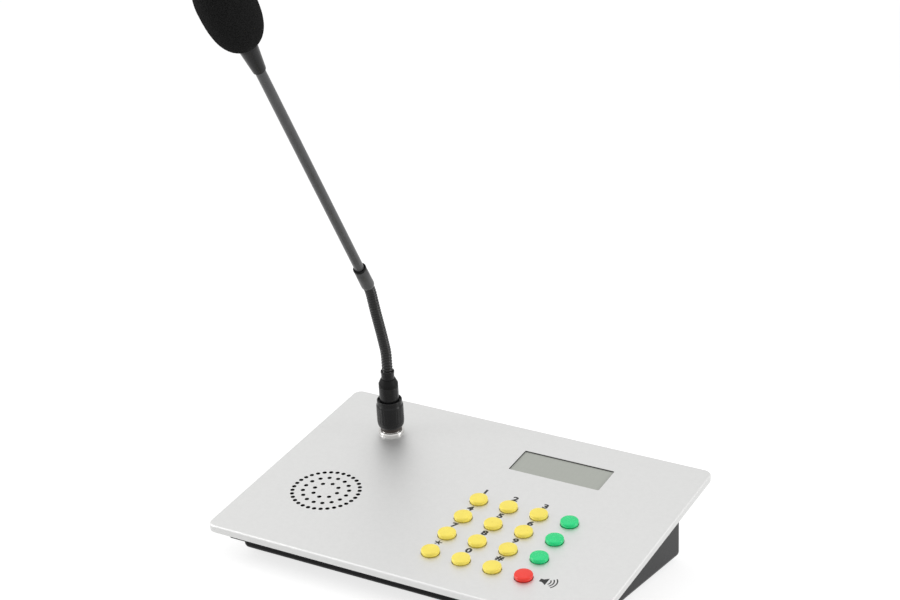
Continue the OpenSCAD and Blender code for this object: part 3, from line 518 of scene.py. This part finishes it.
def tube_mesh(outline, inner, low, high):
    """Points and faces of a thin lining between two outlines with the same number of points."""
    count = len(outline)
    points = []
    for loop, height in ((outline, low), (outline, high), (inner, high), (inner, low)):
        points.extend((x, y, height) for x, y in loop)
    faces = []
    for ring in range(4):
        for i in range(count):
            j = (i + 1) % count
            a = ring * count
            b = (ring + 1) % 4 * count
            faces.append((a + i, a + j, b + j, b + i))
    return points, faces


def circle_points(u, v, radius, count=24):
    """A round outline in the panel's u and v."""
    turn = 2 * math.pi / count
    return [(u + radius * math.cos(i * turn), v + radius * math.sin(i * turn)) for i in range(count)]


def rounded_outline(box, radius, inset):
    """The outline of a rounded rectangle, given as middle and size, drawn in by an inset."""
    u, v, width, height = box
    points = []
    corners = ((1, 1, 0), (-1, 1, 90), (-1, -1, 180), (1, -1, 270))
    for x, y, start in corners:
        middle_u = u + x * (width / 2 - radius)
        middle_v = v + y * (height / 2 - radius)
        for step in range(7):
            angle = math.radians(start + step * 15)
            reach = radius - inset
            points.append((middle_u + reach * math.cos(angle), middle_v + reach * math.sin(angle)))
    return points


def add_painted_shade_lining(name, parts, material):
    """Thin dark linings as one piece of the console: painted shade in the openings of the panel."""
    points = []
    faces = []
    for some, flats in parts:
        faces.extend(tuple(i + len(points) for i in face) for face in flats)
        points.extend(PANEL @ Vector(p) for p in some)
    piece = add_mesh(name, points, faces, material)
    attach(piece, "console")


def build_painted_shade_linings(materials):
    """Painted shade: black sleeves in the sound holes and a dark grey band in the display's opening, in
    place of the shade that falls in them.
    """
    shade_sleeves = []
    for radius, count in SOUND_RINGS:
        for index in range(count):
            angle = 2 * math.pi * index / count
            u = SPEAKER[0] + radius * math.cos(angle)
            v = SPEAKER[1] + radius * math.sin(angle)
            # A black sleeve on the wall of each sound hole: painted shade in the hole.
            outer = circle_points(u, v, SOUND_HOLE_R - 0.01)
            inner = circle_points(u, v, SOUND_HOLE_R - 0.08)
            shade_sleeves.append(tube_mesh(outer, inner, -SOUND_WEB, -0.01))
    add_painted_shade_lining("sound_hole_painted_shade", shade_sleeves, materials["sleeve"])
    # A dark grey band round the display's opening: painted shade of its gap.
    outer = rounded_outline(WINDOW, WINDOW_R, 0.01)
    inner = rounded_outline(WINDOW, WINDOW_R, WINDOW_GAP - 0.02)
    add_painted_shade_lining("window_painted_shade", [tube_mesh(outer, inner, -WEB + 0.01, -0.15)], materials["collar"])


# The plug, the neck and the head.


def on_socket():
    return PANEL @ Matrix.Translation((SOCKET[0], SOCKET[1], 0.0))


def hinge(k):
    """The place of bending point k in the panel's v and n, counted from 1."""
    v = SOCKET[1]
    n = NECK_START
    for i in range(1, k):
        lean = math.radians(LEAN[i])
        v -= LINK * math.sin(lean)
        n += LINK * math.cos(lean)
    return v, n


def on_link(k):
    """The frame of link k: its lower bending point, with Z along the link."""
    v, n = hinge(k)
    return PANEL @ Matrix.Translation((SOCKET[0], v, n)) @ Matrix.Rotation(math.radians(LEAN[k]), 4, "X")


def fluted(radius, height, angle):
    """Shallow flutes round the wide part of the lock ring."""
    if radius < 9.0 or not 9.6 < height < 21.0:
        return radius
    ends = min(1.0, (height - 9.6) / 0.8, (21.0 - height) / 0.8)
    groove = max(0.0, math.cos(24 * angle)) ** 3
    return radius - 0.12 * ends * groove


def build_plug(materials):
    """The lock ring with its flutes, and the plug's body, shoulder and ferrule."""
    ring = fillet(
        [(7.5, 5.4), (8.45, 5.4), (9.15, 6.9), (9.45, 9.4), (9.45, 21.6), (9.1, 22.4), (8.8, 22.8)]
        + [(8.75, 25.8), (8.4, 26.2), (7.9, 26.1), (7.7, 24.4), (6.9, 24.2)],
        0.35,
    )
    ring += [(6.9, 13.6), (7.5, 13.6), (7.5, 5.4)]
    heights = []
    for (r0, h0), (r1, h1) in zip(ring, ring[1:]):
        parts = max(1, int(abs(h1 - h0) / 0.5)) if r0 > 9.1 and r1 > 9.1 else 1
        heights.extend((r0 + (r1 - r0) * i / parts, h0 + (h1 - h0) * i / parts) for i in range(parts))
    piece = lathe("lock_ring_fluted", heights, on_socket(), materials["plug"], 240, fluted, closed=True)
    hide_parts("lock_ring")
    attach(piece, "lock_ring")

    body = [(5.2, -8.0), (6.1, -8.0), (6.1, 12.1), (7.3, 12.1), (7.3, 13.5), (6.8, 13.5)]
    body += fillet([(6.8, 13.5), (6.8, 36.2), (6.55, 36.5), (6.3, 36.4)], 0.25)[1:]
    body += [(5.3, 36.2), (5.2, 34.0)]
    piece = lathe("plug_body", body, on_socket(), materials["plug"], 96, closed=True)
    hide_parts("plug_shell")
    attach(piece, "mic_plug")

    shoulder = [(4.25, 35.0), (6.3, 35.0)]
    shoulder_top = [(6.3, 35.0), (6.72, 36.6), (6.8, 38.7), (5.1, 42.3), (4.7, 42.5), (4.25, 42.5)]
    shoulder += fillet(shoulder_top, 0.4)[1:]
    piece = lathe("plug_shoulder", shoulder, on_socket(), materials["sleeve"], 96, closed=True)
    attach(piece, "mic_plug")

    ferrule = [(2.0, 37.0), (4.2, 37.0), (4.2, 42.55)]
    ferrule_side = [(4.2, 42.55), (4.55, 42.55), (4.55, 46.6), (4.75, 46.9), (4.75, 48.2), (4.5, 48.5)]
    ferrule += fillet(ferrule_side, 0.2)[1:]
    ferrule += [(4.25, 48.4), (3.95, 47.2), (3.84, 47.1), (3.84, 43.5), (2.0, 43.5)]
    piece = lathe("ferrule", ferrule, on_socket(), materials["plug"], 96, closed=True)
    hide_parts("neck_ferrule")
    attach(piece, "mic_plug")


def coil_radius(along, angle):
    """The neck's outline across its coil, along millimetres up the neck: round ribs with narrow valleys."""
    phase = (along / RIB_PITCH + angle / (2 * math.pi)) % 1.0
    return NECK_R - RIB_DEPTH * (1.0 - abs(math.sin(math.pi * phase)) ** 0.6)


def neck_path(k, t):
    """A point and a direction on the neck's middle line round bending point k, for t from 0 to 1.
    It is a smooth arc between the middles of the two links."""
    v, n = hinge(k)
    corner = Vector((v, n))
    below = math.radians(LEAN[k - 1])
    above = math.radians(LEAN[k])
    start = corner - Vector((-math.sin(below), math.cos(below))) * LINK / 2
    end = corner + Vector((-math.sin(above), math.cos(above))) * LINK / 2
    if k == 7:
        end = corner + Vector((-math.sin(above), math.cos(above))) * 7.0
    lean = below + (above - below) * t
    point = start * (1 - t) ** 2 + corner * (2 * t * (1 - t)) + end * t * t
    return point, lean


def neck_track(k, step=0.22):
    """Points and directions along the neck round bending point k. The first piece also has the straight
    part in the ferrule."""
    track = [neck_path(k, i / 48) for i in range(49)]
    if k == 1:
        first = track[0][0].y
        count = int((first - NECK_LOW) / step)
        straight = [NECK_LOW + (first - NECK_LOW) * i / count for i in range(count)]
        track = [(Vector((SOCKET[1], n)), 0.0) for n in straight] + track
    return track


def build_neck(materials, count=64):
    """The coiled neck as one sleeve round each bending point, drawn as a smooth arc in its rest shape."""
    along = 0.0
    for k in range(1, 8):
        track = neck_track(k)
        rings = len(track) - 1
        points = []
        before = track[0][0]
        for middle, lean in track:
            along += (middle - before).length
            before = middle
            across = Vector((math.cos(lean), math.sin(lean)))
            for index in range(count):
                angle = 2 * math.pi * index / count
                r = coil_radius(along, angle)
                v = middle.x + r * math.sin(angle) * across.x
                n = middle.y + r * math.sin(angle) * across.y
                points.append(PANEL @ Vector((SOCKET[0] + r * math.cos(angle), v, n)))
        faces = [tuple(range(count - 1, -1, -1))]
        for step in range(rings):
            low = list(range(step * count, (step + 1) * count))
            high = list(range((step + 1) * count, (step + 2) * count))
            faces.extend(band(low, high, count))
        faces.append(tuple(range(rings * count, (rings + 1) * count)))
        piece = add_mesh(f"neck_sleeve_{k}", points, faces, materials["neck"], math.radians(75))
        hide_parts(f"neck_link_{k - 1}")
        if k == 7:
            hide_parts("neck_link_7")
        v, n = hinge(k)
        lean = math.radians(LEAN[k - 1] + LEAN[k]) / 2
        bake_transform(piece)


def build_seal(materials):
    """A dark brown band round the socket's collar, between its flange and the lock ring: painted shade and
    painted reflection of the lock ring on the collar.
    """
    outline = [(7.32, 2.5), (7.44, 2.5), (7.46, 2.8), (7.46, 5.1), (7.42, 5.3), (7.32, 5.3)]
    piece = lathe("socket_seal", outline, on_socket(), materials["seal"], 96, closed=True)
    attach(piece, "console")


def build_collar(materials):
    """The collar between the neck and the rod, with its two rims."""
    outline = fillet([(3.84, 5.8), (4.0, 4.6), (4.3, 4.8), (4.55, 6.2), (4.5, 14.0), (4.35, 22.4)], 0.3)
    outline += [(4.2, 22.6), (3.34, 22.5), (3.34, 8.6), (3.84, 8.6)]
    piece = lathe("collar", outline, on_link(7), materials["collar"], 96, closed=True)
    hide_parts("rod_collar")
    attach(piece, "mic_head")
    rim = fillet([(3.4, 22.6), (4.2, 22.6), (4.5, 22.8), (4.5, 24.2), (4.1, 24.6), (3.8, 24.5)], 0.2)
    rim += [(3.7, 23.8), (3.4, 23.7)]
    piece = lathe("collar_rim", rim, on_link(7), materials["sleeve"], 96, closed=True)
    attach(piece, "mic_head")


def foam_radius(height):
    """Half width of the foam above its lower end, in millimetres."""
    if height < FOAM_LOW:
        return FOAM_R * (1 - ((FOAM_LOW - height) / FOAM_LOW) ** 2.8) ** (1 / 2.8)
    return FOAM_R * math.sqrt(max(0.0, 1 - ((height - FOAM_LOW) / FOAM_HIGH) ** 2))


def pores(point):
    """A repeatable pattern of small pits, from -1 to 1."""
    x, y, z = point
    value = math.sin(x * 5.1 + 1.7 * math.sin(z * 3.3)) * math.sin(y * 4.7 + 1.3 * math.sin(x * 3.9))
    return value * math.sin(z * 5.3 + 1.9 * math.sin(y * 4.1))


def build_windscreen(materials, count=192):
    """The foam ball over the capsule, with an uneven, porous skin."""
    heights = [FOAM_LOW * (1 - math.cos(math.radians(i * 1.5))) for i in range(4, 61)]
    heights += [FOAM_LOW + FOAM_HIGH * math.sin(math.radians(i * 1.5)) for i in range(1, 60)]
    outline = [(foam_radius(h), h) for h in heights if foam_radius(h) > FOAM_BORE + 0.6 or h > FOAM_LOW]
    base = outline[0][1]
    outer = len(outline)
    outline = [(FOAM_BORE, FOAM_BORE_TOP), (FOAM_BORE, base + 0.2)] + outline
    matrix = on_link(7) @ Matrix.Translation((0.0, 0.0, ROD_TOP + FOAM_START))

    def rough(radius, height, angle):
        if radius <= FOAM_BORE + 0.01 or radius < 0.6:
            return radius
        place = (radius * math.cos(angle), radius * math.sin(angle), height)
        return radius - 0.10 + 0.09 * pores(place)

    outline = [(0.0, FOAM_BORE_TOP)] + outline + [(0.0, FOAM_LOW + FOAM_HIGH - 0.05)]
    piece = lathe("windscreen_foam", outline, matrix, materials["foam"], count, rough)
    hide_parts("windscreen")
    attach(piece, "windscreen")
    return outer


# The sockets at the back.


def build_contacts(materials):
    """Eight sprung contacts inside the network socket."""
    low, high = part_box("network_socket")
    middle = (low.x + high.x) / 2
    points = []
    faces = []
    for index in range(8):
        x = middle + (index - 3.5) * 1.02 * MM
        half = 0.22 * MM
        track = [(high.y - 11.0 * MM, low.z + 9.0 * MM), (high.y - 3.0 * MM, low.z + 9.0 * MM)]
        track += [(high.y - 2.4 * MM, low.z + 8.4 * MM), (high.y - 9.0 * MM, low.z + 5.0 * MM)]
        start = len(points)
        for y, z in track:
            points.extend([(x - half, y, z - half), (x + half, y, z - half)])
            points.extend([(x + half, y, z + half), (x - half, y, z + half)])
        for step in range(len(track) - 1):
            a = start + 4 * step
            faces.extend((a + i, a + (i + 1) % 4, a + 4 + (i + 1) % 4, a + 4 + i) for i in range(4))
        last = start + 4 * (len(track) - 1)
        faces.append((start + 3, start + 2, start + 1, start))
        faces.append((last, last + 1, last + 2, last + 3))
    piece = add_mesh("network_contacts", points, faces, materials["gold"])
    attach(piece, "console")


# The CAD pieces that keep their shape.

CAD_FINISHES = {
    "top_panel": "aluminium",
    "case_shell": "case",
    "bottom_plate": "bottom",
    "rubber_feet": "rubber",
    "bottom_screws": "black_steel",
    "inner_screws": "zinc",
    "display_lens": "window",
    "display_cell": "cell",
    "display_frame": "tin",
    "display_board": "board",
    "key_board": "board",
    "key_switches": "black",
    "main_board": "board",
    "board_parts": "black",
    "inner_wires": "wire",
    "network_socket": "tin",
    "power_socket": "black",
    "audio_socket": "black",
    "speaker_gasket": "sleeve",
    "speaker_frame": "black_steel",
    "speaker_cone": "cone",
    "speaker_magnet": "magnet",
    "mic_socket": "chrome",
    "socket_nut": "tin",
    "socket_insert": "black",
    "plug_insert": "black",
    "rod_tube": "rod",
    "rod_cable": "black",
    "head_housing": "plug",
    "head_capsule": "gold",
    "head_grille": "mesh",
}


def dress_cad(materials):
    """Gives each carried-over CAD piece its finish."""
    for name, finish in CAD_FINISHES.items():
        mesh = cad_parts[name].data
        mesh.materials.clear()
        mesh.materials.append(materials[finish])


# Floor, light and camera.


AMBIENT = 0.62
FLOOR_GLOW = 1.5
FLOOR_SHARE = 0.5
FLOOR_SIZE = 12.0
SOFTBOX_AIM = (-0.05, 0.05, 0.15)
SENSOR_WIDTH = 36.0
CAMERA_LENS = 83.55
CAMERA_PLACE = (0.57993, -1.15570, 0.54121)
CAMERA_RIGHT = (0.87872, 0.47362, 0.05944)
CAMERA_FORWARD = (-0.44254, 0.85501, -0.27039)


def seen_ray(nodes, links):
    """1 for rays that show the backdrop: from the camera, off gloss or through glass.
    0 for scattered light."""
    path = nodes.new("ShaderNodeLightPath")
    first = nodes.new("ShaderNodeMath")
    first.operation = "MAXIMUM"
    second = nodes.new("ShaderNodeMath")
    second.operation = "MAXIMUM"
    links.new(path.outputs["Is Camera Ray"], first.inputs[0])
    links.new(path.outputs["Is Glossy Ray"], first.inputs[1])
    links.new(first.outputs["Value"], second.inputs[0])
    links.new(path.outputs["Is Transmission Ray"], second.inputs[1])
    return second.outputs["Value"]


def build_floor():
    """A plain white table top that keeps a pale shadow."""
    material, shader = new_material("floor_paper", (0.80, 0.80, 0.80), 0.9)
    shader.inputs["Specular IOR Level"].default_value = 0.0
    grain = add_noise(material, 300.0)
    vary_colour(material, shader, grain, (0.795, 0.795, 0.795), (0.805, 0.805, 0.805))
    nodes = material.node_tree.nodes
    links = material.node_tree.links
    glow = nodes.new("ShaderNodeEmission")
    glow.inputs["Strength"].default_value = FLOOR_GLOW
    blend = nodes.new("ShaderNodeMixShader")
    share = nodes.new("ShaderNodeMath")
    share.operation = "MULTIPLY"
    share.inputs[1].default_value = FLOOR_SHARE
    links.new(seen_ray(nodes, links), share.inputs[0])
    links.new(share.outputs["Value"], blend.inputs["Fac"])
    links.new(shader.outputs["BSDF"], blend.inputs[1])
    links.new(glow.outputs["Emission"], blend.inputs[2])
    links.new(blend.outputs["Shader"], nodes["Material Output"].inputs["Surface"])
    size = FLOOR_SIZE
    points = [(-size, -size, 0.0), (size, -size, 0.0), (size, size, 0.0), (-size, size, 0.0)]
    floor = add_mesh("floor", points, [(0, 1, 2, 3)], material)


def add_softbox(name, place, aim, width, height, power):
    """A large soft area light that points at a place on the part."""
    light = bpy.data.lights.new(name, "AREA")
    light.shape = "RECTANGLE"
    light.size = width
    light.size_y = height
    light.energy = power
    holder = bpy.data.objects.new(name, light)
    holder.location = place
    holder.rotation_mode = "QUATERNION"
    holder.rotation_quaternion = (Vector(aim) - Vector(place)).to_track_quat("-Z", "Y")
    bpy.context.scene.collection.objects.link(holder)


def build_light():
    """A white backdrop, soft light from all round and large softboxes above and at the sides."""
    world = bpy.data.worlds.new("studio")
    world.use_nodes = True
    nodes = world.node_tree.nodes
    links = world.node_tree.links
    background = nodes["Background"]
    background.inputs["Color"].default_value = (1.0, 1.0, 1.0, 1.0)
    level = nodes.new("ShaderNodeMapRange")
    level.inputs["To Min"].default_value = AMBIENT
    level.inputs["To Max"].default_value = 1.0
    links.new(seen_ray(nodes, links), level.inputs["Value"])
    links.new(level.outputs["Result"], background.inputs["Strength"])
    bpy.context.scene.world = world
    add_softbox("softbox_top", (-0.3, -0.5, 2.0), (0.0, 0.0, 0.05), 3.2, 2.8, 11.0)
    add_softbox("softbox_left", (-1.45, -0.85, 0.65), SOFTBOX_AIM, 0.5, 1.0, 10.0)
    add_softbox("softbox_right", (1.5, 0.35, 0.7), SOFTBOX_AIM, 0.4, 1.0, 7.5)


def build_camera():
    """The photograph's viewpoint, found from the keys and the panel's corners."""
    camera = bpy.data.cameras.new("camera")
    camera.sensor_fit = "HORIZONTAL"
    camera.sensor_width = SENSOR_WIDTH
    camera.lens = CAMERA_LENS
    camera.clip_start = 0.05
    camera.clip_end = 50.0
    right = Vector(CAMERA_RIGHT).normalized()
    back = -Vector(CAMERA_FORWARD).normalized()
    up = back.cross(right).normalized()
    right = up.cross(back)
    turn = Matrix((right, up, back)).transposed()
    holder = bpy.data.objects.new("camera", camera)
    holder.matrix_world = Matrix.Translation(CAMERA_PLACE) @ turn.to_4x4()
    bpy.context.scene.collection.objects.link(holder)
    bpy.context.scene.camera = holder


def build_view():
    """Plain colour handling."""
    settings = bpy.context.scene.view_settings
    settings.view_transform = "Standard"


finishes = make_materials()
dress_cad(finishes)
build_keys(finishes)
build_legends(finishes)
build_symbol(finishes)
build_painted_shade_linings(finishes)
build_plug(finishes)
build_seal(finishes)
build_neck(finishes)
build_collar(finishes)
build_windscreen(finishes)
build_contacts(finishes)
build_floor()
build_light()
build_camera()
build_view()
